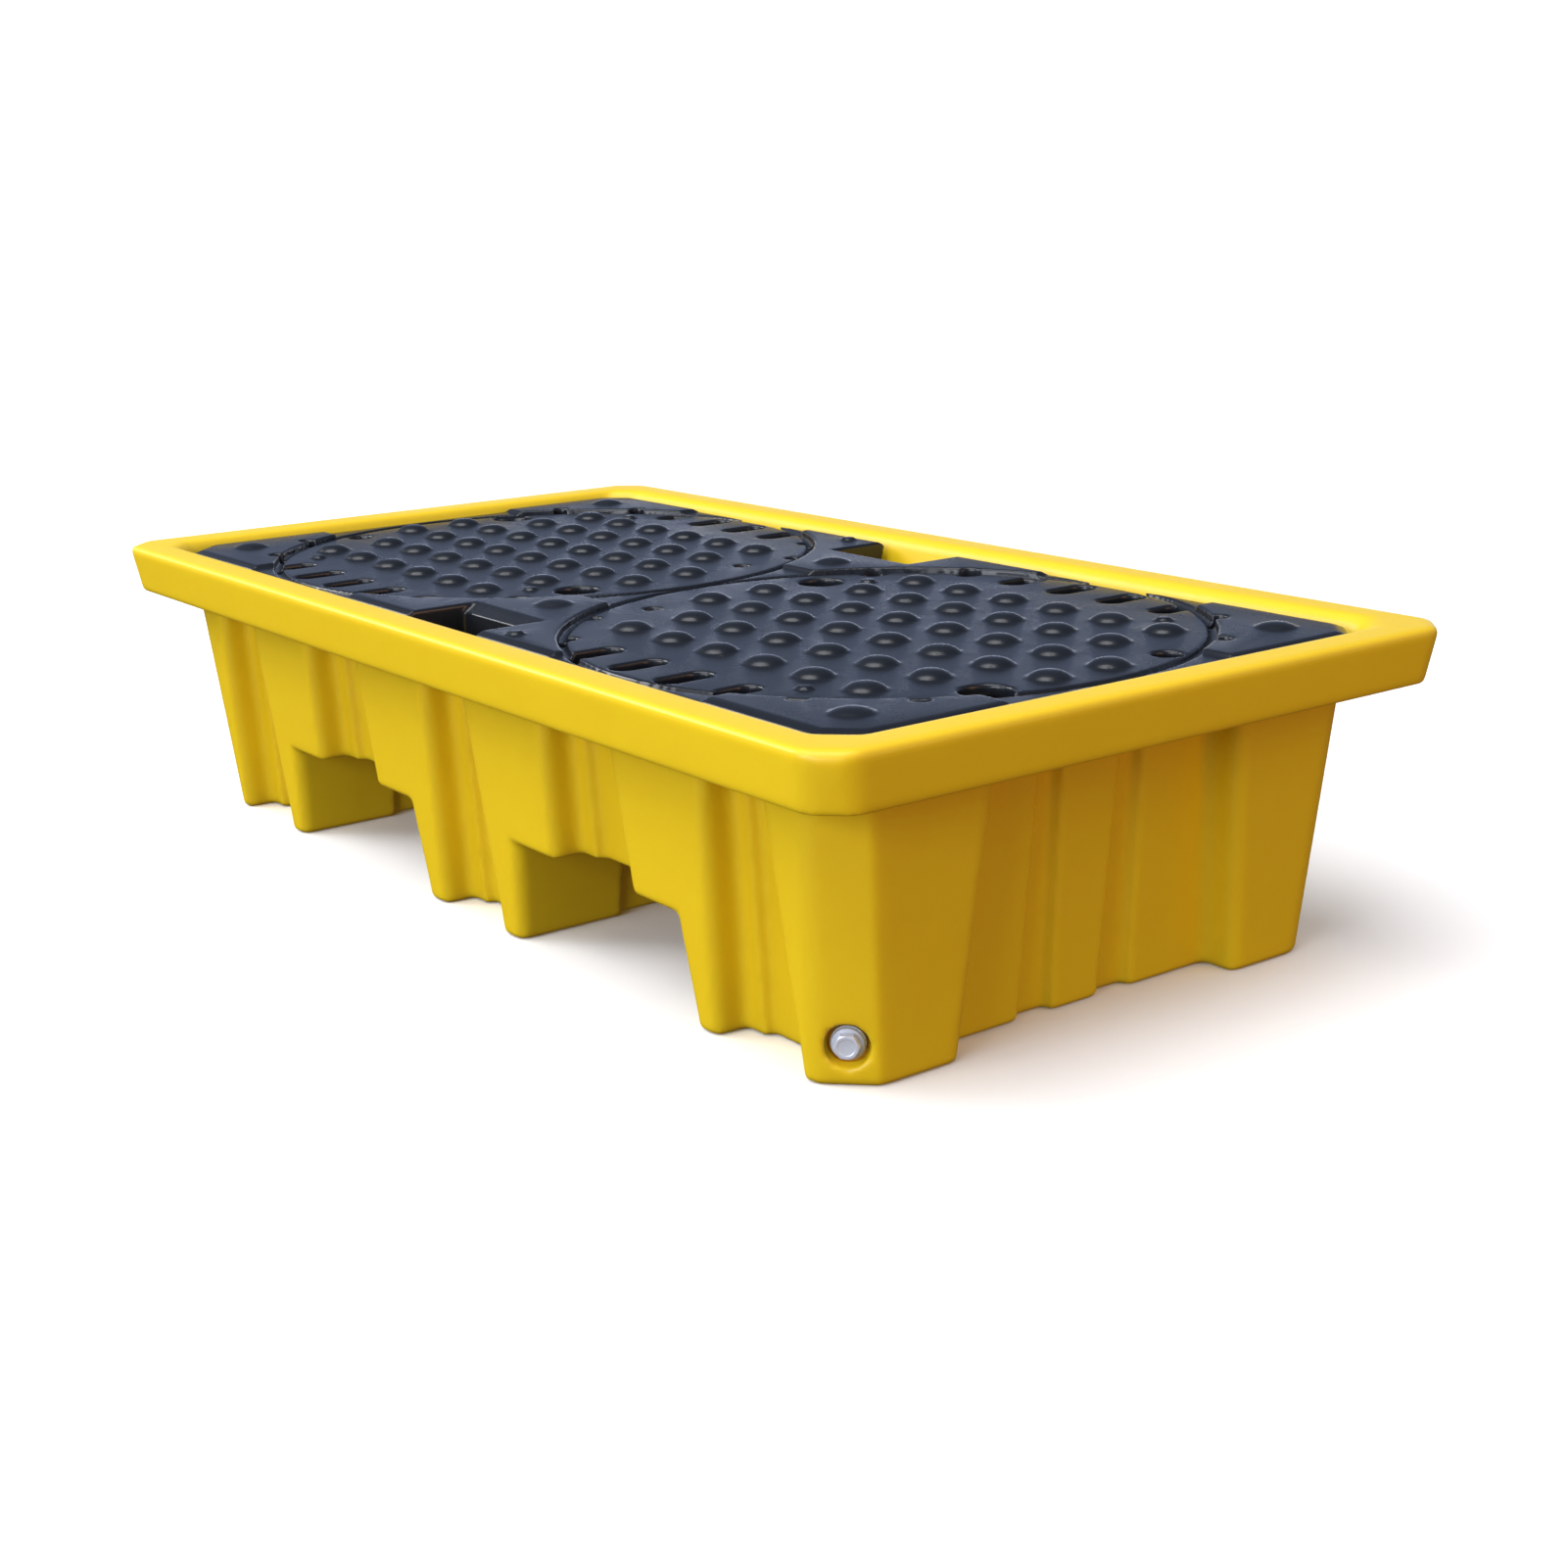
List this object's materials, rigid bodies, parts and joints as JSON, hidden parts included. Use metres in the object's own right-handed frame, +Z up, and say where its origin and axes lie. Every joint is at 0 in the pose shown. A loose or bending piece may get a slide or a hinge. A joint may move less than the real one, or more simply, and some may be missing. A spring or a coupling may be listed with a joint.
{
  "type": "spill containment pallet",
  "caption": "Low spill containment pallet: ribbed moulded sump tray with fork tunnels, lift-off studded deck marked with drum circles, and a hex drain plug in one corner.",
  "frame": {"origin": "on the floor, under the centre of the pallet's outer rectangle", "axes": "+X along the long side, +Y along the short side, +Z up; the drain plug is at the +X -Y corner"},
  "size_m": [1.312, 0.702, 0.3],
  "materials": {
    "yellow_polyethylene": "satin, moulded",
    "black_polyethylene": "satin, moulded",
    "brass": "turned",
    "zinc_steel": "zinc plated",
    "rubber": "moulded nitrile"
  },
  "bodies": {
    "tray": {"sump_tub": "yellow_polyethylene", "tray_rim": "yellow_polyethylene", "drain_insert": "brass"},
    "deck": {"deck_panel": "black_polyethylene"},
    "seal": {"seal_ring": "zinc_steel", "seal_lip": "rubber"},
    "plug": {"drain_plug": "zinc_steel"}
  },
  "joints": [
    {"name": "deck_lift", "type": "slide", "parent": "tray", "child": "deck", "axis": [0, 0, 1], "range_m": [0, 0.35]},
    {"name": "plug_travel", "type": "slide", "parent": "tray", "child": "seal", "axis": [0.7071, -0.7071, 0], "range_m": [0, 0.0146]},
    {"name": "plug_turn", "type": "hinge", "parent": "seal", "child": "plug", "pos_m": [0.55454, -0.25454, 0.035], "axis": [0.7071, -0.7071, 0], "range_deg": [0, 2880]}
  ],
  "couplings": [
    {"joint": "plug_travel", "follows": "plug_turn", "m_per_rad": 0.00028875}
  ]
}
